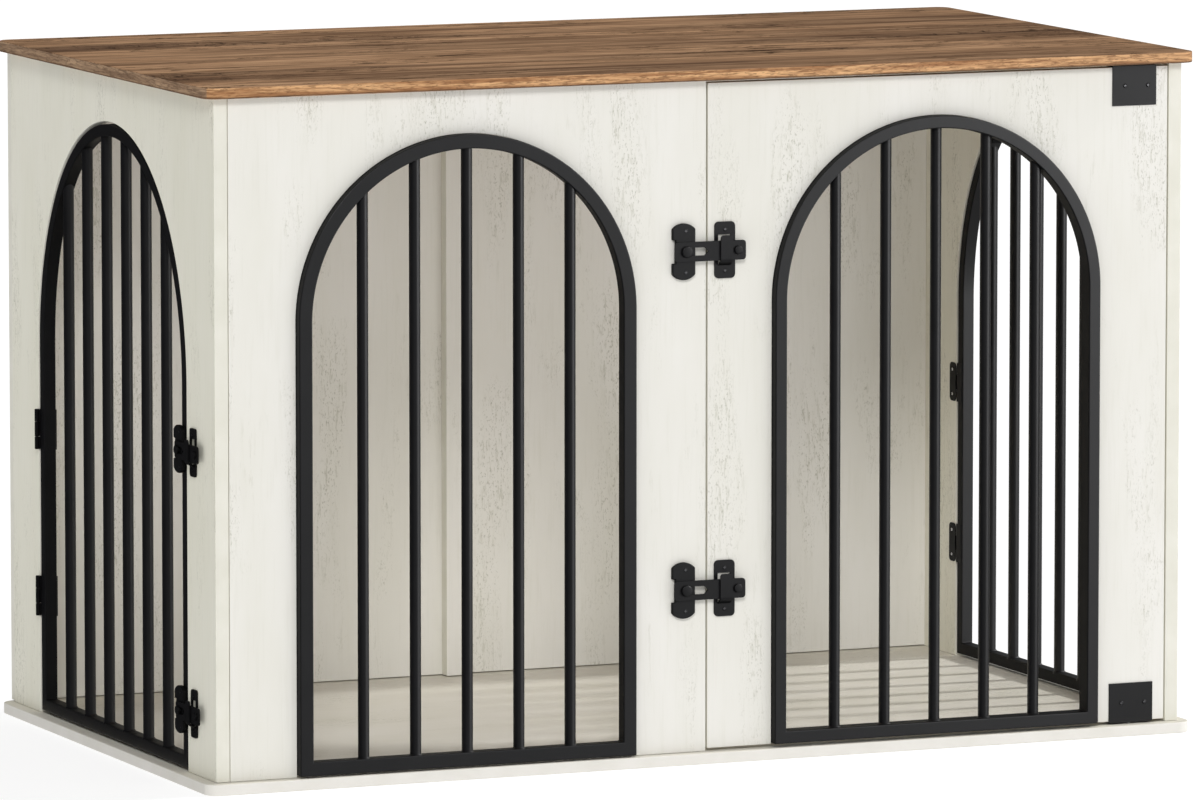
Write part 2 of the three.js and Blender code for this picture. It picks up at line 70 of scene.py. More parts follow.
BOARD_CORNER = 16 * MM
FRONT_ARCH_RADIUS = 192 * MM
FRONT_SPRING_Z = FLOOR_Z + 481 * MM
FRAME_JOINT = 0.3 * MM
WINDOW_TUBE = 15 * MM
DOOR_TUBE = 13.5 * MM
DOORWAY_HALF = 228.5 * MM
DOORWAY_SPRING_Z = FLOOR_Z + 409 * MM
DOORWAY_RISE = 260 * MM
SIDE_GAP = 3 * MM
SIDE_RECESS = 0.5 * MM
SIDE_TUBE = 13 * MM
SIDE_TUBE_DEPTH = 14 * MM
BAR_RADIUS = 6 * MM
FRONT_BARS = 5
SIDE_BARS = 6
PIVOT_PLATE = 1.5 * MM
PIVOT_PIN_RADIUS = 3 * MM
HINGE_BARREL = 2.4 * MM
HINGE_LEAF = 1.1 * MM
HINGE_CORNER = 5 * MM
KNUCKLE = 16 * MM
KNUCKLE_GAP = 0.4 * MM
DOOR_LEAF = 0.8 * MM
DOOR_LEAF_WIDTH = 12 * MM

# ---- Materials ----


class Nodes:
    """A short way to build one material's node tree."""

    def __init__(self, name):
        self.material = bpy.data.materials.new(name)
        self.material.use_nodes = True
        self.tree = self.material.node_tree
        self.shader = self.tree.nodes["Principled BSDF"]

    def add(self, kind, inputs=None, **settings):
        node = self.tree.nodes.new(kind)
        for key, value in settings.items():
            setattr(node, key, value)
        for key, value in (inputs or {}).items():
            self.feed(node, key, value)
        return node

    def feed(self, node, key, value):
        if isinstance(value, bpy.types.NodeSocket):
            self.tree.links.new(value, node.inputs[key])
        else:
            node.inputs[key].default_value = value

    def noise(self, scale, detail=3, rough=0.5, distortion=0, stretch=(1, 1, 1)):
        """Noise in object coordinates, with scale spots to the metre. A stretch under 1 draws an axis out."""
        where = self.add("ShaderNodeTexCoord").outputs["Object"]
        sizes = tuple(scale * s for s in stretch)
        placed = self.add("ShaderNodeMapping", {"Vector": where, "Scale": sizes}).outputs[0]
        inputs = {"Vector": placed, "Scale": 1, "Detail": detail, "Roughness": rough, "Distortion": distortion}
        return self.add("ShaderNodeTexNoise", inputs).outputs["Fac"]

    def window(self, value, low, high, to_low=0, to_high=1):
        inputs = {"Value": value, "From Min": low, "From Max": high, "To Min": to_low, "To Max": to_high}
        return self.add("ShaderNodeMapRange", inputs, clamp=True).outputs[0]

    def marks(self, span, *noise, **more):
        """Noise as a mask: 0 at the low end of span, 1 at its high end."""
        return self.window(self.noise(*noise, **more), *span)

    def mix(self, factor, a, b):
        node = self.add("ShaderNodeMix", data_type="RGBA")
        self.feed(node, "Factor", factor)
        self.feed(node, 6, a)
        self.feed(node, 7, b)
        return node.outputs[2]

    def tint(self, color, shade, amount, *masks):
        """color, turned towards shade by amount where all the masks are 1."""
        for mask in masks:
            amount = self.add("ShaderNodeMath", {0: mask, 1: amount}, operation="MULTIPLY").outputs[0]
        return self.mix(amount, color, rgb(*shade))

    def bump(self, height, strength, distance):
        inputs = {"Height": height, "Strength": strength, "Distance": distance}
        self.feed(self.shader, "Normal", self.add("ShaderNodeBump", inputs).outputs[0])

    def finish(self, color, roughness, specular=0.5):
        self.feed(self.shader, "Base Color", color)
        self.feed(self.shader, "Roughness", roughness)
        self.feed(self.shader, "Specular IOR Level", specular)
        return self.material


def rgb(red, green, blue):
    """A colour written as it looks on a screen, 0 to 255, as linear values."""
    def linear(value):
        value /= 255
        return value / 12.92 if value <= 0.04045 else ((value + 0.055) / 1.055) ** 2.4
    return (linear(red), linear(green), linear(blue), 1)


def lighter(shade, by):
    return tuple(value + by for value in shade)


def white_laminate(name, along="z", wear=0.7, painted_shade=(0, 0, 0)):
    """Off-white laminate printed like worn paint: soft clouds, faint strokes and clusters of fine specks. Its
    last argument is painted shade, taken off both tones of the whole surface.
    """
    n = Nodes(name)
    long = 0 if along == "x" else 2

    def drawn(stretch):
        return tuple(stretch if axis == long else 1 for axis in range(3))

    clouds = n.marks((0.35, 0.68), 8, 4, 0.6, stretch=drawn(0.3))
    # the amount taken off here is painted shade: it darkens the flat boards and warms the side panels
    light, dark = (
        rgb(*(value - less for value, less in zip(shade, painted_shade)))
        for shade in ((238, 236, 230), (231, 229, 220))
    )
    color = n.mix(clouds, light, dark)
    strokes = n.marks((0.52, 0.72), 230, 3, 0.6, stretch=drawn(0.06))
    color = n.tint(color, (212, 210, 196), 0.22 * wear, strokes)
    patch = n.marks((0.51, 0.62), 15, 4, 0.62, 0.3, stretch=drawn(0.22))
    dashes = n.marks((0.55, 0.66), 460, 2, 0.6, stretch=drawn(0.16))
    color = n.tint(color, (180, 178, 160), 0.55 * wear, patch, dashes)
    specks = n.marks((0.58, 0.66), 560, 2, 0.6, stretch=drawn(0.5))
    color = n.tint(color, (160, 158, 140), 0.65 * wear, patch, specks)
    rubbed = n.marks((0.58, 0.68), 17, 4, 0.6, 0.3, stretch=drawn(0.25))
    streaks = n.marks((0.55, 0.68), 190, 4, 0.7, stretch=drawn(0.15))
    color = n.tint(color, (190, 188, 171), 0.45 * wear, rubbed, streaks)
    chips = n.marks((0.68, 0.73), 330, 2, 0.6, stretch=drawn(0.5))
    color = n.tint(color, (132, 130, 114), 0.70 * wear, patch, chips)
    n.bump(strokes, 0.05, 0.0003)
    return n.finish(color, n.window(clouds, 0, 1, 0.50, 0.58), 0.15)


def white_edge_band(name, light, dark):
    """The plain edge band of the white boards."""
    n = Nodes(name)
    color = n.mix(n.marks((0.3, 0.7), 25, 3), rgb(*light), rgb(*dark))
    grain = n.noise(500, 2, 0.6, stretch=(1, 1, 0.1))
    n.bump(grain, 0.10, 0.0002)
    return n.finish(color, 0.5, 0.3)


def walnut_laminate(name):
    """Walnut print with its grain along X: wide bands, fine streaks, dark checks and ripples across."""
    n = Nodes(name)
    bands = n.marks((0.40, 0.58), 9, 3, 0.5, 0.5, stretch=(0.09, 1.2, 1))
    color = n.mix(bands, rgb(92, 71, 57), rgb(174, 137, 105))
    broad = n.marks((0.42, 0.60), 42, 5, 0.65, 0.8, stretch=(0.06, 1, 1))
    color = n.tint(color, (196, 159, 124), 0.50, broad)
    shade = n.marks((0.48, 0.62), 75, 4, 0.65, 0.6, stretch=(0.05, 1, 1))
    color = n.tint(color, (92, 69, 53), 0.62, shade)
    streaks = n.marks((0.45, 0.60), 260, 3, 0.6, 0.2, stretch=(0.04, 1, 1))
    color = n.tint(color, (88, 65, 48), 0.55, streaks)
    patch = n.marks((0.44, 0.54), 7, 3, 0.6, 0.4, stretch=(0.4, 1.5, 1))
    checks = n.marks((0.55, 0.61), 80, 4, 0.7, 1.2, stretch=(0.25, 1, 1))
    color = n.tint(color, (50, 38, 30), 0.8, patch, checks)
    ripple = n.marks((0.56, 0.62), 95, 3, 0.6, 1.0, stretch=(1.0, 0.45, 1))
    dark_bands = n.window(bands, 0.5, 0.0)
    color = n.tint(color, (46, 36, 29), 0.7, patch, ripple, dark_bands)
    n.bump(streaks, 0.10, 0.0003)
    return n.finish(color, 0.6, 0.0)


def oak_edge(name, light, dark, grain):
    """Edge band of the top board: lighter than its face, with short grain and painted shade along its lower
    edge.
    """
    n = Nodes(name)
    bands = n.marks((0.38, 0.62), 70, 4, 0.6, 0.6, stretch=(0.10, 0.10, 2.6))
    color = n.mix(bands, rgb(*dark), rgb(*light))
    fine = n.marks((0.44, 0.62), 520, 3, 0.6, 0.4, stretch=(0.12, 0.12, 1))
    color = n.tint(color, grain, 0.75, fine)
    pores = n.marks((0.60, 0.68), 420, 2, 0.6, 0.3, stretch=(0.35, 0.35, 1.5))
    color = n.tint(color, (104, 72, 48), 0.6, pores)
    height = n.add("ShaderNodeSeparateXYZ", {0: n.add("ShaderNodeTexCoord").outputs["Object"]}).outputs["Z"]
    # painted shade: darker towards the lower edge, under its rounding
    foot = n.window(height, top_low.z + 0.8 * MM, top_low.z + 2.4 * MM, 0.9, 0)
    color = n.mix(foot, color, rgb(84, 60, 42))
    n.bump(fine, 0.12, 0.0003)
    return n.finish(color, 0.55, 0.15)


def black_powder_coat(name, shade=(15, 15, 17), rough=0.38, shine=0.4):
    """Satin black powder coat with its fine orange peel."""
    n = Nodes(name)
    color = n.mix(n.marks((0.3, 0.7), 30, 3), rgb(*shade), rgb(*lighter(shade, 4)))
    peel = n.noise(1400, 2, 0.5)
    n.bump(peel, 0.08, 0.0002)
    return n.finish(color, n.window(peel, 0.3, 0.7, rough, rough + 0.1), shine)


def bare_steel(name, shade):
    """Uncoated steel, slightly uneven in tone."""
    n = Nodes(name)
    n.feed(n.shader, "Metallic", 1.0)
    return n.finish(n.mix(n.marks((0.3, 0.7), 900, 2), rgb(*shade), rgb(*lighter(shade, 20))), 0.4)


white = white_laminate("white_laminate")
# painted shade: the base board's flat faces, the cabin floor and the ledge, are darkened
white_flat_painted_shade = white_laminate("white_laminate_flat_painted_shade", "x", painted_shade=(14, 16, 20))
white_back = white_laminate("white_laminate_back", wear=0.75)
# painted warm shade: the side panels lose a little blue
white_side_painted_warmth = white_laminate("white_laminate_side_painted_warmth", painted_shade=(0, 0, 7))
white_edge = white_edge_band("white_edge_band", (234, 232, 221), (226, 224, 211))
base_edge = white_edge_band("white_base_band", (233, 230, 224), (226, 223, 215))
walnut = walnut_laminate("walnut_laminate")
walnut_edge = oak_edge("walnut_edge_band", (228, 180, 130), (166, 118, 78), (124, 84, 52))
# painted shade: the top board's ends get a darker, greyer copy of its edge band
walnut_end_painted_shade = oak_edge("walnut_end_band_painted_shade", (188, 156, 124), (140, 112, 88), (112, 88, 68))
black = black_powder_coat("black_powder_coat")
# painted shade: a darker, less shiny black for the faces of tubes and latches that turn away from their front
black_painted_shade = black_powder_coat("black_painted_shade", (10, 10, 11), 0.5, 0.12)
black_plate = black_powder_coat("black_plate", (15, 15, 17), 0.42, 0.28)
# painted shade: all hinge parts are in a darker, less shiny black
black_hinge_painted_shade = black_powder_coat("black_hinge_painted_shade", (9, 9, 10), 0.5, 0.15)
steel = bare_steel("bright_steel", (215, 215, 217))
dull_steel = bare_steel("dull_steel", (92, 92, 94))

# ---- Mesh helpers: loops are lists of (a, b) on a plane, and depth runs across it ----

PLANES = {
    "front": lambda a, b, depth: (a, depth, b),
    "side": lambda a, b, depth: (depth, a, b),
    "flat": lambda a, b, depth: (a, b, depth),
}


def arc(ca, cb, ra, rb, start, end, steps):
    angles = [start + (end - start) * i / steps for i in range(steps + 1)]
    return [(ca + ra * math.cos(t), cb + rb * math.sin(t)) for t in angles]


def rectangle(a_low, a_high, b_low, b_high):
    return [(a_low, b_low), (a_high, b_low), (a_high, b_high), (a_low, b_high)]


def rounded(a_low, a_high, b_low, b_high, radius, steps=8):
    corners = [
        (a_high - radius, b_low + radius, -QUARTER),
        (a_high - radius, b_high - radius, 0),
        (a_low + radius, b_high - radius, QUARTER),
        (a_low + radius, b_low + radius, 2 * QUARTER),
    ]
    loop = []
    for ca, cb, start in corners:
        loop += arc(ca, cb, radius, radius, start, start + QUARTER, steps)
    return loop


def slab(bm, outer, low, high, plane, holes=()):
    """A plate between two depths, with the given outline and holes."""
    put = PLANES[plane]
    caps = []
    for depth in (low, high):
        loops = []
        for loop in (outer, *holes):
            loops.append([bm.verts.new(put(a, b, depth)) for a, b in loop])
        caps.append(loops)
        if holes:
            edges = []
            for verts in loops:
                edges += [bm.edges.new((v, verts[i - 1])) for i, v in enumerate(verts)]
            bmesh.ops.triangle_fill(bm, edges=edges, use_beauty=True, use_dissolve=False)
        else:
            bm.faces.new(loops[0])
    for near, far in zip(*caps):
        for i in range(len(near)):
            bm.faces.new((near[i - 1], near[i], far[i], far[i - 1]))


def join_rows(bm, here, there):
    """Faces between two closed rows of vertices with the same number in each."""
    for i in range(len(here)):
        bm.faces.new((here[i - 1], here[i], there[i], there[i - 1]))


def ring(bm, outer, inner, low, high, plane):
    """A frame between two loops with the same number of points."""
    put = PLANES[plane]
    rows = []
    for loop, depth in ((outer, low), (outer, high), (inner, high), (inner, low)):
        rows.append([bm.verts.new(put(a, b, depth)) for a, b in loop])
    for k in range(4):
        join_rows(bm, rows[k], rows[(k + 1) % 4])


def lathe(bm, profile, centre, axis, steps=24):
    """A turned piece: profile is (distance along the axis, radius), from one end on the axis to the other."""
    turn = Vector(UP).rotation_difference(Vector(axis)).to_matrix()
    circle = [2 * math.pi * i / steps for i in range(steps)]
    rows = []
    for along, radius in profile:
        if radius == 0:
            spots = [(0, 0, along)]
        else:
            spots = [(radius * math.cos(t), radius * math.sin(t), along) for t in circle]
        rows.append([bm.verts.new(Vector(centre) + turn @ Vector(spot)) for spot in spots])
    for here, there in zip(rows, rows[1:]):
        if len(here) == len(there):
            join_rows(bm, here, there)
            continue
        for i in range(steps):
            if len(here) == 1:
                bm.faces.new((here[0], there[i], there[i - 1]))
            else:
                bm.faces.new((here[i - 1], here[i], there[0]))


def mesh_of(bm, name):
    """A closed mesh made from bm, which is used up."""
    bmesh.ops.recalc_face_normals(bm, faces=bm.faces)
    mesh = bpy.data.meshes.new(name)
    bm.to_mesh(mesh)
    bm.free()
    return mesh


def add_object(name, data):
    obj = bpy.data.objects.new(name, data)
    bpy.context.scene.collection.objects.link(obj)
    return obj


def applied(obj):
    """The mesh of obj with its modifiers applied."""
    bpy.context.view_layer.update()
    return bpy.data.meshes.new_from_object(obj.evaluated_get(bpy.context.evaluated_depsgraph_get()))


BEVEL_ANGLE = math.radians(28)
SHARP_ANGLE = math.radians(35)
FACING = 0.7  # least share of a face's normal along an axis that it faces


def make_piece(name, bm, body, slot, materials, replaces=(), bevel=0, segments=1, side_axis=None):
    """Turns bm into a finished piece on its body.

    With a side_axis, faces that don't face along it take the second material.
    """
    mesh = mesh_of(bm, name)
    mesh.shade_smooth()
    obj = add_object(name, mesh)
    for material in materials:
        mesh.materials.append(material)
    if bevel:
        rounding = obj.modifiers.new("edges", "BEVEL")
        rounding.width = bevel
        rounding.segments = segments
        rounding.limit_method = "ANGLE"
        rounding.angle_limit = BEVEL_ANGLE
        rounding.harden_normals = True
        rounding.use_clamp_overlap = True
        obj.data = applied(obj)
        obj.modifiers.clear()
    else:
        mesh.set_sharp_from_angle(angle=SHARP_ANGLE)
    if side_axis is not None:
        for face in obj.data.polygons:
            face.material_index = 0 if abs(face.normal[side_axis]) > FACING else 1
    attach(obj, body)
    if replaces:
        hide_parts(*replaces)
    return obj


def plate(name, outline, depths, plane, *rest, **more):
    """A piece cut from a plate; rest and more are make_piece's, from body on."""
    bm = bmesh.new()
    slab(bm, outline, *depths, plane)
    return make_piece(name, bm, *rest, **more)


# ---- Arches ----

ARCH_STEPS = 96


def arch_loop(middle, bottom, spring, half, rise):
    return [
        (middle - half, bottom),
        (middle + half, bottom),
        *arc(middle, spring, half, rise, 0, math.pi, ARCH_STEPS),
    ]


def arched_loop(low, high, bottom, top, middle, spring, half, rise):
    """The outline of a board whose lower edge is cut open by an arch."""
    return [
        (low, bottom),
        (middle - half, bottom),
        *arc(middle, spring, half, rise, math.pi, 0, ARCH_STEPS),
        (middle + half, bottom),
        (high, bottom),
        (high, top),
        (low, top),
    ]


# ---- Boards ----

BOARD_ROUND = 1.2 * MM  # of the top and base boards' arrises
ARRIS = 0.5 * MM  # of the panels
JOINT = 0.25 * MM  # between a panel and the boards above and below it
SEAM = 0.7 * MM  # the dark lines at the left of the fixed panel and beside the back panels
BACK_END_SEAM = 1.7 * SEAM  # the dark lines above and below the back panels


def board(name, low, high, replaced, slot, materials):
    """A lying board with rounded corners: its faces, its long edges and its ends each have a material."""
    outline = rounded(low.x, high.x, low.y, high.y, BOARD_CORNER, 12)
    obj = plate(
        name, outline, (low.z, high.z), "flat", "cabinet", slot, materials, [replaced],
        bevel=BOARD_ROUND, segments=3, side_axis=2,
    )
    # the ends take the third material, which on the walnut top is painted shade
    for face in obj.data.polygons:
        if face.material_index == 1 and abs(face.normal.x) > 0.8:
            face.material_index = 2


board("walnut_top", top_low, top_high, "top_board", "walnut_board", [walnut, walnut_edge, walnut_end_painted_shade])
board("white_base", base_low, base_high, "base_board", "white_board", [white_flat_painted_shade, base_edge, base_edge])

for side in ("left", "right"):
    low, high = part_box(f"{side}_side_panel")
    outline = arched_loop(
        low.y, high.y, low.z + JOINT, high.z - JOINT,
        (low.y + high.y) / 2, DOORWAY_SPRING_Z, DOORWAY_HALF, DOORWAY_RISE,
    )
    plate(
        f"{side}_side_board", outline, (low.x, high.x), "side", "cabinet", "white_board",
        [white_side_painted_warmth, white_edge], [f"{side}_side_panel"], bevel=ARRIS, segments=2, side_axis=0,
    )

for node, name, body, left_joint, arch_low, arch_high in (
    ("fixed_front_panel", "fixed_front_board", "cabinet", SEAM, window_low, window_high),
    ("front_door_panel", "front_door_board", "front_door", JOINT, door_frame_low, door_frame_high),
):
    low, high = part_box(node)
    reach = FRONT_ARCH_RADIUS + FRAME_JOINT
    outline = arched_loop(
        low.x + left_joint, high.x - JOINT, low.z + JOINT, high.z - JOINT,
        (arch_low.x + arch_high.x) / 2, FRONT_SPRING_Z, reach, reach,
    )
    plate(
        name, outline, (low.y, high.y), "front", body, "white_board",
        [white, white_edge], [node], bevel=ARRIS, segments=2, side_axis=1,
    )

for node in ("back_panel_left", "back_panel_right", "back_batten"):
    low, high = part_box(node)
    inset = Vector((SEAM, 0, BACK_END_SEAM))
    low, high = low + inset, high - inset
    plate(
        f"{node}_board", rectangle(low.x, high.x, low.z, high.z), (low.y, high.y), "front", "cabinet",
        "white_board", [white_back, white_edge], [node], bevel=ARRIS, segments=2, side_axis=1,
    )

# ---- Frames and bars ----

TUBE_ROUND = 1.3 * MM
BAR_SINK = 2 * MM  # of a bar into the tube under it
BEAD = 1.2 * MM  # of weld around a bar's foot


def bar_rod(bar, body, low, top):
    """A round bar from just inside the tube at low to just inside the arch at top."""
    bar_low, bar_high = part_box(bar)
    x = (bar_low.x + bar_high.x) / 2
    y = (bar_low.y + bar_high.y) / 2
    foot = low - BAR_SINK
    high = top(x, y) + BAR_SINK / 2
    profile = [
        (foot, 0), (foot, BAR_RADIUS + BEAD), (foot + BAR_SINK, BAR_RADIUS + BEAD),
        (foot + BAR_SINK + BEAD, BAR_RADIUS), (high, BAR_RADIUS), (high, 0),
    ]
    bm = bmesh.new()
    lathe(bm, profile, (x, y, 0), UP, 32)
    make_piece(f"{bar}_rod", bm, body, "black_metal", [black], [bar])


def tube_frame(name, outer, inner, depths, plane, body, node, side_axis):
    bm = bmesh.new()
    ring(bm, outer, inner, *depths, plane)
    # faces that don't face along side_axis take the second black, which is painted shade
    make_piece(
        name, bm, body, "black_metal", [black, black_painted_shade], [node],
        bevel=TUBE_ROUND, segments=3, side_axis=side_axis,
    )


def front_frame(name, body, node, low, high, tube, bar_name):
    middle = (low.x + high.x) / 2
    inside = FRONT_ARCH_RADIUS - tube
    outer = arch_loop(middle, low.z, FRONT_SPRING_Z, FRONT_ARCH_RADIUS, FRONT_ARCH_RADIUS)
    inner = arch_loop(middle, low.z + tube, FRONT_SPRING_Z, inside, inside)
    tube_frame(name, outer, inner, (low.y, high.y), "front", body, node, 1)

    def top(x, y):
        return FRONT_SPRING_Z + math.sqrt(inside ** 2 - (abs(x - middle) - BAR_RADIUS) ** 2)

    for i in range(1, FRONT_BARS + 1):
        bar_rod(f"{bar_name}_{i}", body, low.z + tube, top)


front_frame("window_tube", "cabinet", "window_frame", window_low, window_high, WINDOW_TUBE, "window_bar")
front_frame(
    "front_door_tube", "front_door", "front_door_frame", door_frame_low, door_frame_high, DOOR_TUBE,
    "front_door_bar",
)


def side_door(side, sign):
    body = f"{side}_door"
    depths = sorted(sign * x for x in (SIDE_X - SIDE_RECESS, SIDE_X - SIDE_RECESS - SIDE_TUBE_DEPTH))
    half, rise = DOORWAY_HALF - SIDE_GAP, DOORWAY_RISE - SIDE_GAP
    inner_half, inner_rise = half - SIDE_TUBE, rise - SIDE_TUBE
    bottom = FLOOR_Z + SIDE_GAP
    outer = arch_loop(DOORWAY_Y, bottom, DOORWAY_SPRING_Z, half, rise)
    inner = arch_loop(DOORWAY_Y, bottom + SIDE_TUBE, DOORWAY_SPRING_Z, inner_half, inner_rise)
    # the door's other faces take the painted-shade black
    axis = 0 if side == "left" else 1  # the left door shows its outer face and the right one its edges
    tube_frame(f"{side}_door_tube", outer, inner, depths, "side", body, f"{side}_door_frame", axis)

    def top(x, y):
        share = (abs(y - DOORWAY_Y) - BAR_RADIUS) / inner_half
        return DOORWAY_SPRING_Z + inner_rise * math.sqrt(1 - share ** 2)

    for i in range(1, SIDE_BARS + 1):
        bar_rod(f"{side}_door_bar_{i}", body, bottom + SIDE_TUBE, top)


side_door("left", -1)
side_door("right", 1)

# ---- Screws ----

SCREW_RADIUS = 2.4 * MM
SCREW_RISE = 1.1 * MM
SCREW_SINK = 0.2 * MM


def screw_mesh():
    """A pan head with a cross recess, standing on z = 0 with its axis along Z."""
    r, h = SCREW_RADIUS, SCREW_RISE
    bm = bmesh.new()
    dome = [(h * math.sin(t), r * math.cos(t)) for t in (i * QUARTER / 6 for i in range(6))]
    lathe(bm, [(-SCREW_SINK, 0), (-SCREW_SINK, r), *dome, (h, 0)], (0, 0, 0), UP, 20)
    head = mesh_of(bm, "screw_head")
    head.shade_smooth()
    arm, width, deep = 0.62 * r, 0.2 * r, 0.55 * h
    cross = [
        (arm, -width), (arm, width), (width, width), (width, arm), (-width, arm), (-width, width),
        (-arm, width), (-arm, -width), (-width, -width), (-width, -arm), (width, -arm), (width, -width),
    ]
    bm = bmesh.new()
    slab(bm, cross, h - deep, h + deep, "flat")
    cutter = add_object("screw_cutter", mesh_of(bm, "screw_cutter"))
    blank = add_object("screw_head", head)
    boolean = blank.modifiers.new("cross", "BOOLEAN")
    boolean.operation = "DIFFERENCE"
    boolean.object = cutter
    boolean.solver = "EXACT"
    made = applied(blank)
    made.set_sharp_from_angle(angle=math.radians(40))
    bpy.data.objects.remove(blank)
    bpy.data.objects.remove(cutter)
    made.materials.clear()
    for face in made.polygons:
        wall = Vector(face.center[:2]).length < 0.7 * r and face.normal.z < 0.05
        bottom = abs(face.center.z - (h - deep)) < 0.05 * h
        face.material_index = 1 if wall or bottom else 0
    return made


SCREW = screw_mesh()


def add_screw(name, spot, direction, body, finishes=(black_plate, dull_steel), rise=1, width=1):
    """A screw head standing at spot and pointing along direction, scaled by rise and width.

    The first of the finishes is the head's and the second is its recess's.
    """
    mesh = SCREW.copy()
    for material in finishes:
        mesh.materials.append(material)
    turn = Vector(UP).rotation_difference(Vector(direction)).to_matrix().to_4x4()
    mesh.transform(Matrix.Translation(Vector(spot)) @ turn @ Matrix.Diagonal((width, width, rise, 1)))
    obj = add_object(name, mesh)
    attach(obj, body)


# ---- Front door pivots ----

PIVOT_SCREW_SPACING = 27.6 * MM
PIVOT_SCREW_SHIFT = 2.4 * MM  # to the right of the plate's middle
PIVOT_ROUND = 0.4 * MM
FLANGE_INSET = 0.1 * MM  # of the flange behind the plate's ends


def pivot(level, up):
    """A plate on the door's face, bent over the door's end, with the pin that stands on the bend."""
    node = f"{level}_pivot_plate"
    low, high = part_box(node)
    edge_z = door_high.z if up > 0 else door_low.z
    flange = sorted((edge_z, edge_z + up * PIVOT_PLATE))
    inner_z = low.z if up > 0 else high.z
    face = sorted((inner_z, edge_z + up * PIVOT_PLATE))
    plate(
        f"{level}_pivot_face", rectangle(low.y, FRONT_Y, *face), (low.x, high.x), "side",
        "front_door", "black_metal", [black_plate], [node], bevel=PIVOT_ROUND, segments=2,
    )
    plate(
        f"{level}_pivot_flange", rectangle(low.y + PIVOT_ROUND, door_high.y, *flange),
        (low.x + FLANGE_INSET, high.x - FLANGE_INSET), "side",
        "front_door", "black_metal", [black_plate], bevel=PIVOT_ROUND / 2,
    )
    middle = ((low.x + high.x) / 2, (FRONT_Y + door_high.y) / 2)
    pin_low, pin_high = (edge_z, high.z) if up > 0 else (low.z, edge_z)
    pin = [(pin_low, 0), (pin_low, PIVOT_PIN_RADIUS), (pin_high, PIVOT_PIN_RADIUS), (pin_high, 0)]
    bm = bmesh.new()
    lathe(bm, pin, (*middle, 0), UP)
    make_piece(f"{level}_pivot_pin", bm, "front_door", "black_metal", [steel])
    for k, way in (("left", -1), ("right", 1)):
        x = middle[0] + way * PIVOT_SCREW_SPACING / 2 + PIVOT_SCREW_SHIFT
        add_screw(f"{level}_pivot_screw_{k}", (x, low.y, sum(face) / 2), (0, -1, 0), "front_door")


pivot("upper", 1)
pivot("lower", -1)

# ---- Side door hinges ----

HINGE_SCREW_SPACING = 28 * MM
HINGE_SCREW_INSET = 8 * MM  # from the doorway
HINGE_SCREW_WIDTH = 0.7  # of the other screws' heads
LEAF_ROUND = 0.3 * MM
WEB_ROUND = 0.2 * MM
KNUCKLE_RIM = 0.4 * MM
DOORWAY_REAR = DOORWAY_Y + DOORWAY_HALF
HINGE_X = leaf_high.x - HINGE_BARREL
HINGE_Y = DOORWAY_REAR - SIDE_GAP / 2
LEAF_INNER = SIDE_X - (side_high.x - side_low.x) - HINGE_LEAF
LEAF_FRONT_Y = DOORWAY_REAR - HINGE_LEAF
TUBE_REAR = DOORWAY_REAR - SIDE_GAP
TUBE_OUTER = SIDE_X - SIDE_RECESS
TUBE_INNER = TUBE_OUTER - SIDE_TUBE_DEPTH


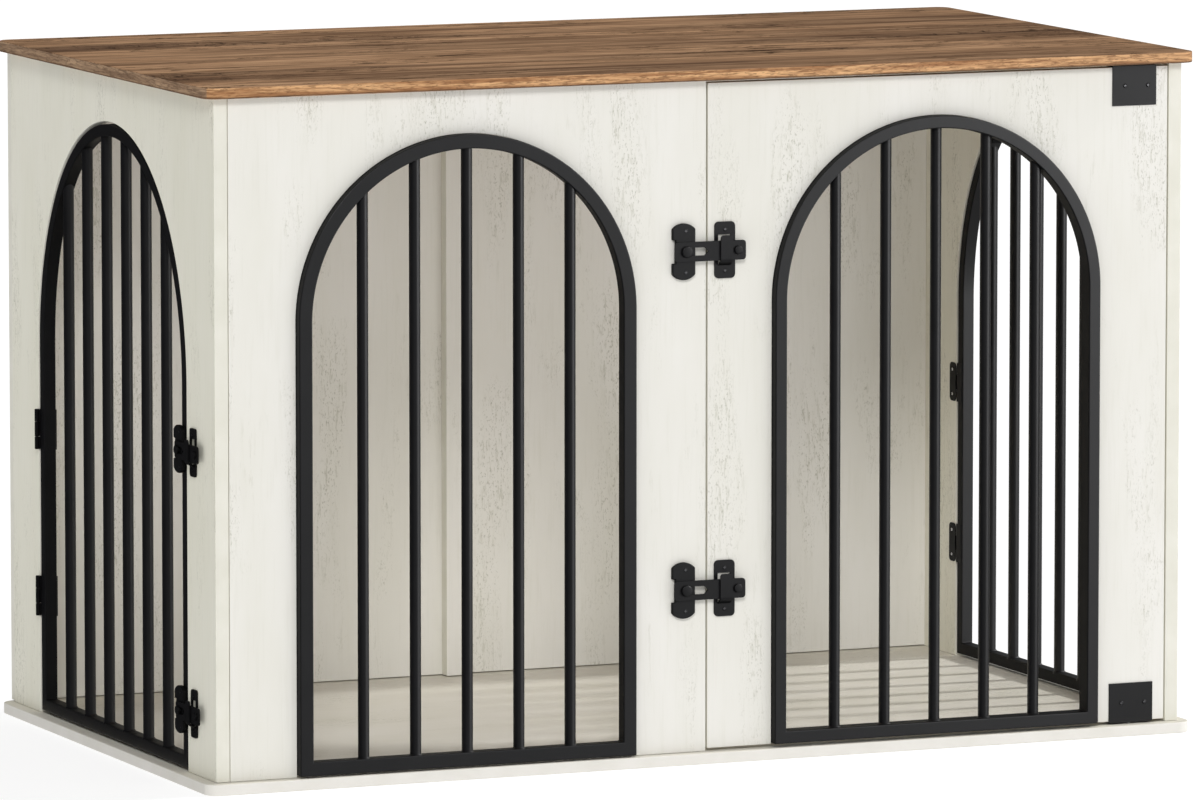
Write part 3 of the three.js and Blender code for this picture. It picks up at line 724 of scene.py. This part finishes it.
def hinge(side, sign, level):
    """A fixed leaf inside the side panel, three knuckles outside it and a leaf around the door's rear tube."""
    # the whole hinge is drawn in the darker black, which is painted shade
    node = f"{side}_{level}_hinge_leaf"
    door = f"{side}_door"
    low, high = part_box(node)
    middle_z = (low.z + high.z) / 2
    knuckle_low, knuckle_high = middle_z - KNUCKLE / 2, middle_z + KNUCKLE / 2

    def across(*depths):
        return sorted(sign * depth for depth in depths)

    def web(name, from_y, to_y, from_z, to_z, depths, body):
        plate(
            name, rectangle(from_y, to_y, from_z, to_z), across(*depths), "side",
            body, "black_metal", [black_hinge_painted_shade], bevel=WEB_ROUND,
        )

    plate(
        f"{node}_plate", rounded(LEAF_FRONT_Y, high.y, low.z, high.z, HINGE_CORNER, 6),
        across(LEAF_INNER, LEAF_INNER + HINGE_LEAF), "side",
        "cabinet", "black_metal", [black_hinge_painted_shade], [node], bevel=LEAF_ROUND, segments=2,
    )
    web(f"{node}_web", LEAF_FRONT_Y, DOORWAY_REAR, knuckle_low, knuckle_high, (LEAF_INNER, HINGE_X), "cabinet")
    # the middle knuckle is fixed, and the outer ones turn with the door
    for part, body, from_z, to_z in (
        ("fixed", "cabinet", knuckle_low, knuckle_high),
        ("low", door, low.z, knuckle_low - KNUCKLE_GAP),
        ("high", door, knuckle_high + KNUCKLE_GAP, high.z),
    ):
        profile = [
            (from_z, 0), (from_z, HINGE_BARREL - KNUCKLE_RIM), (from_z + KNUCKLE_RIM, HINGE_BARREL),
            (to_z - KNUCKLE_RIM, HINGE_BARREL), (to_z, HINGE_BARREL - KNUCKLE_RIM), (to_z, 0),
        ]
        bm = bmesh.new()
        lathe(bm, profile, (sign * HINGE_X, HINGE_Y, 0), UP)
        make_piece(f"{side}_{level}_knuckle_{part}", bm, body, "black_metal", [black_hinge_painted_shade])
        if body == door:
            depths = (TUBE_OUTER - DOOR_LEAF, HINGE_X)
            web(f"{side}_{level}_leaf_web_{part}", TUBE_REAR, TUBE_REAR + DOOR_LEAF, from_z, to_z, depths, door)
    # the door leaf wraps the rear tube, from its rear face to its inner face
    wrap = [
        (TUBE_OUTER, TUBE_REAR), (TUBE_OUTER, TUBE_REAR + DOOR_LEAF),
        (TUBE_INNER - HINGE_LEAF, TUBE_REAR + DOOR_LEAF),
        (TUBE_INNER - HINGE_LEAF, TUBE_REAR - DOOR_LEAF_WIDTH),
        (TUBE_INNER, TUBE_REAR - DOOR_LEAF_WIDTH), (TUBE_INNER, TUBE_REAR),
    ]
    plate(
        f"{side}_{level}_door_leaf", [(sign * x, y) for x, y in wrap], (low.z, high.z), "flat",
        door, "black_metal", [black_hinge_painted_shade], bevel=LEAF_ROUND, segments=2,
    )
    for k, way in (("low", -1), ("high", 1)):
        spot = (sign * LEAF_INNER, DOORWAY_REAR + HINGE_SCREW_INSET, middle_z + way * HINGE_SCREW_SPACING / 2)
        # the screws' recesses are in the same painted-shade black
        add_screw(
            f"{side}_{level}_hinge_screw_{k}", spot, (-sign, 0, 0), "cabinet",
            (steel, black_hinge_painted_shade), width=HINGE_SCREW_WIDTH,
        )


for side, sign in (("left", -1), ("right", 1)):
    for level in ("upper", "lower"):
        hinge(side, sign, level)

# ---- Latches: drawn with the rivet at the origin, the bar along +X and the panel's face at y = 0 ----

BASE_FACE = 5 * MM
KEEPER_FACE = 2 * MM
RUNNING = 0.3 * MM  # clearance of what slides or turns
BAR_THICK = 2.2 * MM
HOOK_THICK = 1.6 * MM
HOOK_DROP = 4.6 * MM  # of the hook's root below its bend
HOOK_BEND = 3 * MM
HOOK_CORNER = 3 * MM
HEAD_RISE = 2.2 * MM
RIM_SHARE = 0.225  # of a head's radius that its rim rounds
LATCH_SINK = 0.2 * MM  # of a rivet or a button into what it stands on
SHANK_REACH = 0.5 * MM  # of the rivet's shank past the gap that it spans
BAR_REAR_Y = -(BASE_FACE + RUNNING)
BAR_FACE_Y = BAR_REAR_Y - BAR_THICK
HEAD_Y = BAR_FACE_Y - RUNNING

# Sizes in mm. base and bar: left and right ends. plate: height of both plates. notch: half its height, depth.
# arch: rise of the base's ends. slot: width, right end. keeper: middle, width. hook: middle, width, top.
# head: the rivet's radius. button: place from the bar's right end, radius. screws: height above the rivet.
FRONT_LATCH = {
    "base": (-15.2, 11.2), "plate": 60.5, "notch": (12.5, 3.6), "arch": 6, "bar": (-13.7, 68.5),
    "bar_height": 21, "slot": (8.6, 25.1), "keeper": (46.5, 23.8), "hook": (45.8, 14, 16.2), "head": 6.2,
    "button": (9, 4.7), "screws": 22.2,
}
SIDE_LATCH = {
    "base": (-17.5, 7.1), "plate": 51, "notch": (10.6, 4.5), "arch": 5, "bar": (-7.5, 59.2),
    "bar_height": 18.2, "slot": (7.4, 18), "keeper": (31.3, 17), "hook": (31.3, 11, 14), "head": 5,
    "button": (7.4, 4.4), "screws": 18.5,
}


def head(bm, x, radius, rear, front):
    """A round head on the latch: a flat top with a rounded rim."""
    rise = rear - front
    soft = RIM_SHARE * radius
    rim = [
        (rise - soft + soft * math.sin(t), radius - soft + soft * math.cos(t))
        for t in (i * QUARTER / 5 for i in range(6))
    ]
    lathe(bm, [(0, 0), (0, radius), *rim, (rise, 0)], (x, rear, 0), (0, -1, 0), 32)


def latch_base(bm, size):
    left, right = (v * MM for v in size["base"])
    half = size["plate"] / 2 * MM
    rise = size["arch"] * MM
    notch_half, notch_depth = (v * MM for v in size["notch"])
    middle, half_width = (left + right) / 2, (right - left) / 2
    radius = (half_width ** 2 + rise ** 2) / (2 * rise)
    sweep = math.asin(half_width / radius)
    top = arc(middle, half - radius, radius, radius, QUARTER - sweep, QUARTER + sweep, 14)
    outline = [
        *top,
        (left, notch_half), (left + notch_depth, notch_half),
        (left + notch_depth, -notch_half), (left, -notch_half),
        *[(x, -z) for x, z in reversed(top)],
    ]
    slab(bm, outline, -BASE_FACE, 0, "front")


def latch_rivet(bm, size):
    shank = size["slot"][0] / 2 * MM - RUNNING
    length = -BASE_FACE - HEAD_Y + SHANK_REACH
    profile = [(0, 0), (0, shank), (length, shank), (length, 0)]
    lathe(bm, profile, (0, -BASE_FACE + LATCH_SINK, 0), (0, -1, 0))
    head(bm, 0, size["head"] * MM, HEAD_Y, HEAD_Y - HEAD_RISE)


def latch_bar(bm, size):
    left, right = (v * MM for v in size["bar"])
    half = size["bar_height"] / 2 * MM
    slot_half, slot_end = size["slot"][0] / 2 * MM, size["slot"][1] * MM
    hole = [
        *arc(0, 0, slot_half, slot_half, QUARTER, 3 * QUARTER, 12),
        (slot_end - slot_half, -slot_half), (slot_end, 0), (slot_end - slot_half, slot_half),
    ]
    slab(bm, rounded(left, right, -half, half, half / 3), BAR_FACE_Y, BAR_REAR_Y, "front", [hole])


def latch_button(bm, size):
    inset, radius = (v * MM for v in size["button"])
    head(bm, size["bar"][1] * MM - inset, radius, BAR_FACE_Y + LATCH_SINK, HEAD_Y - HEAD_RISE)


def hook_low(size):
    """The underside of the hook's bend, one clearance under the bar."""
    return -size["bar_height"] / 2 * MM - RUNNING - HOOK_THICK


def latch_keeper(bm, size):
    middle, width = (v * MM for v in size["keeper"])
    half = size["plate"] / 2 * MM
    hook_middle, hook_width, hook_top = (v * MM for v in size["hook"])
    left, hook_left = middle - width / 2, hook_middle - hook_width / 2
    root = hook_low(size) - HOOK_DROP + HOOK_THICK
    window = rectangle(
        hook_left - RUNNING, hook_left + hook_width + RUNNING, root, hook_top + 2 * RUNNING,
    )
    outline = rounded(left, left + width, -half, half, width / 5)
    slab(bm, outline, -KEEPER_FACE, 0, "front", [window])


def latch_hook(bm, size):
    """A strip bent out of the keeper: down-sloping root, a round bend and an upright tab with round corners."""
    middle, width, top = (v * MM for v in size["hook"])
    low = hook_low(size)
    half_thick = HOOK_THICK / 2
    root = Vector((-KEEPER_FACE / 2, low - HOOK_DROP + half_thick))
    corner = Vector((BAR_FACE_Y - RUNNING - half_thick, low + half_thick))
    slope = (corner - root).normalized()
    start, end = corner - HOOK_BEND * slope, corner + Vector((0, HOOK_BEND))
    path = [(root, width / 2)]
    for t in (i / 8 for i in range(9)):
        path.append(((1 - t) ** 2 * start + 2 * t * (1 - t) * corner + t ** 2 * end, width / 2))
    for t in (QUARTER * i / 6 for i in range(7)):
        z = top - HOOK_CORNER * (1 - math.sin(t))
        path.append((Vector((corner.x, z)), width / 2 - HOOK_CORNER * (1 - math.cos(t))))
    rows = []
    for i, (spot, half) in enumerate(path):
        along = (path[min(i + 1, len(path) - 1)][0] - path[max(i - 1, 0)][0]).normalized()
        out = Vector((-along.y, along.x)) * half_thick
        outer, inner = spot + out, spot - out
        corners = [(-half, outer), (half, outer), (half, inner), (-half, inner)]
        rows.append([bm.verts.new((middle + x, p.x, p.y)) for x, p in corners])
    for here, there in zip(rows, rows[1:]):
        join_rows(bm, here, there)
    bm.faces.new(rows[0])
    bm.faces.new(rows[-1])


def add_latch(side, level, size, place, base_body, keeper_body):
    """A latch whose pieces are drawn at the origin and put in place."""
    name = f"{side}_{level}_latch"
    for part, draw, body, node, bevel, segments in (
        ("base_plate", latch_base, base_body, "base", 1.0, 3),
        ("rivet", latch_rivet, base_body, None, 0, 1),
        ("bar_strip", latch_bar, name, "bar", 0.4, 2),
        ("thumb_button", latch_button, name, None, 0, 1),
        ("keeper_plate", latch_keeper, keeper_body, "keeper", 0.4, 2),
        ("keeper_hook", latch_hook, keeper_body, None, 0.35, 2),
    ):
        bm = bmesh.new()
        draw(bm, size)
        bm.transform(place)
        replaced = [f"{name}_{node}"] if node else []
        # faces that don't face out take the second black, which is painted shade
        make_piece(
            f"{name}_{part}", bm, body, "black_metal", [black_plate, black_painted_shade], replaced,
            bevel=bevel * MM, segments=segments, side_axis=1 if side == "front" else 0,
        )
    out = (place.to_3x3() @ Vector((0, -1, 0))).normalized()
    screws = size["screws"] * MM
    # the base's screws are nearly flush, because the bar swings over them
    for part, x, rear, body, rise in (
        ("base", 0, -BASE_FACE, base_body, 0.18),
        ("keeper", size["keeper"][0] * MM, -KEEPER_FACE, keeper_body, 0.6),
    ):
        for k, z in (("low", -screws), ("high", screws)):
            spot = place @ Vector((x, rear, z))
            add_screw(f"{name}_{part}_screw_{k}", spot, out, body, rise=rise)


for level in ("upper", "lower"):
    low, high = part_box(f"front_{level}_latch_base")
    spot = (low.x - FRONT_LATCH["base"][0] * MM, FRONT_Y, (low.z + high.z) / 2)
    add_latch("front", level, FRONT_LATCH, Matrix.Translation(spot), "cabinet", "front_door")
    for side, sign in (("left", -1), ("right", 1)):
        low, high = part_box(f"{side}_{level}_latch_base")
        spot = (sign * SIDE_X, high.y + SIDE_LATCH["base"][0] * MM, (low.z + high.z) / 2)
        turn = Matrix.Rotation(sign * QUARTER, 4, "Z")
        mirror = Matrix.Diagonal((-sign, 1, 1, 1))
        place = Matrix.Translation(spot) @ turn @ mirror
        add_latch(side, level, SIDE_LATCH, place, f"{side}_door", "cabinet")

# ---- Stage ----

STAGE_SIZE = 60
STAGE_DROP = 0.2 * MM  # of the floor under the base board
STAGE_GREY = 0.3
STAGE_GLOW = 0.78


def stage_material():
    """A pale floor that glows a little, so that it stays white and the shadow on it stays soft."""
    n = Nodes("pale_floor")
    n.feed(n.shader, "Emission Color", (1, 1, 1, 1))
    n.feed(n.shader, "Emission Strength", STAGE_GLOW)
    return n.finish((STAGE_GREY, STAGE_GREY, STAGE_GREY, 1), 0.9, 0.0)


bm = bmesh.new()
bmesh.ops.create_grid(bm, x_segments=1, y_segments=1, size=STAGE_SIZE)
floor = add_object("floor", mesh_of(bm, "floor"))
floor.data.materials.append(stage_material())
floor.location.z = -STAGE_DROP
floor.visible_glossy = False

# ---- Light ----

AMBIENT_LEFT = 0.27
AMBIENT_RIGHT = 0.47
DARK_SIDE = 0.04  # of the room in reflections, on the left
BRIGHT_SIDE = 0.62


def studio_world():
    """White to the camera, an even light on rough surfaces, and brighter on the right in reflections."""
    world = bpy.data.worlds.new("studio")
    world.use_nodes = True
    tree = world.node_tree

    def add(kind, inputs):
        node = tree.nodes.new(kind)
        for key, value in inputs.items():
            if isinstance(value, bpy.types.NodeSocket):
                tree.links.new(value, node.inputs[key])
            else:
                node.inputs[key].default_value = value
        return node

    rays = add("ShaderNodeLightPath", {})
    where = add("ShaderNodeTexCoord", {})
    side = add("ShaderNodeSeparateXYZ", {0: where.outputs["Generated"]}).outputs["X"]
    ambient, mirrored = (
        add("ShaderNodeMapRange", {
            "Value": side, "From Min": from_x, "From Max": to_x, "To Min": from_level, "To Max": to_level,
        }).outputs[0]
        for from_x, to_x, from_level, to_level in (
            (-1, 1, AMBIENT_LEFT, AMBIENT_RIGHT), (0.0, 0.8, DARK_SIDE, BRIGHT_SIDE),
        )
    )
    glossy = rays.outputs["Is Glossy Ray"]
    seen = add("ShaderNodeMix", {"Factor": glossy, 2: ambient, 3: mirrored}).outputs[0]
    level = add("ShaderNodeMix", {"Factor": rays.outputs["Is Camera Ray"], 2: seen, 3: 1.0}).outputs[0]
    background = tree.nodes["Background"]
    background.inputs["Color"].default_value = (1, 1, 1, 1)
    tree.links.new(level, background.inputs["Strength"])
    return world


def add_sun(name, strength, size, elevation, azimuth):
    """A sun seen in the given direction: azimuth 0 is in front, 90 on the right."""
    data = bpy.data.lights.new(name, "SUN")
    data.energy = strength
    data.angle = math.radians(size)
    sun = add_object(name, data)
    sun.rotation_euler = (QUARTER - math.radians(elevation), 0, math.radians(azimuth))


def add_panel(name, watts, width, height, place, azimuth, hidden_from):
    """An upright lamp that shines to the back, turned by azimuth and hidden from the camera and hidden_from."""
    data = bpy.data.lights.new(name, "AREA")
    data.shape = "RECTANGLE"
    data.size = width
    data.size_y = height
    data.energy = watts
    panel = add_object(name, data)
    panel.location = place
    panel.rotation_euler = (QUARTER, 0, math.radians(azimuth))
    panel.visible_camera = False
    setattr(panel, f"visible_{hidden_from}", False)
    return data


bpy.context.scene.world = studio_world()
add_sun("key", strength=1.27, size=16, elevation=32, azimuth=-22)
add_sun("side", strength=2.2, size=4.5, elevation=32, azimuth=88)

# A weak lamp inside the front stands for the light that bounces about in the cabin.
FILL_MARGIN = 60 * MM
FILL_GAP = 4 * MM  # behind the front panels
fill = add_panel(
    "cabin_fill",
    watts=0.52,
    width=fixed_high.x - fixed_low.x + door_high.x - door_low.x - FILL_MARGIN,
    height=CEILING_Z - FLOOR_Z - FILL_MARGIN,
    place=(0, fixed_high.y + FILL_GAP, (FLOOR_Z + CEILING_Z) / 2),
    azimuth=0,
    hidden_from="glossy",
)
fill.spread = math.radians(90)
fill.color = (1.0, 0.97, 0.93)

# A large panel on the right gives the black metal its highlights.
add_panel(
    "right_panel", watts=60, width=1.6, height=1.6, place=(2.5, -2.6, 0.9), azimuth=40, hidden_from="diffuse",
)

# ---- Camera, as fitted to the photograph ----

LENS_MM = 307.9
SENSOR_MM = 36
CAMERA_PLACE = (-4.3449, -10.2525, 1.6971)
CAMERA_PITCH = 6.8701
CAMERA_AZIMUTH = 23.0096

camera_data = bpy.data.cameras.new("camera")
camera_data.lens = LENS_MM
camera_data.sensor_width = SENSOR_MM
camera_data.clip_end = 200
camera = add_object("camera", camera_data)
camera.location = CAMERA_PLACE
camera.rotation_euler = (QUARTER - math.radians(CAMERA_PITCH), 0, -math.radians(CAMERA_AZIMUTH))
bpy.context.scene.camera = camera
bpy.context.scene.view_settings.view_transform = "Standard"
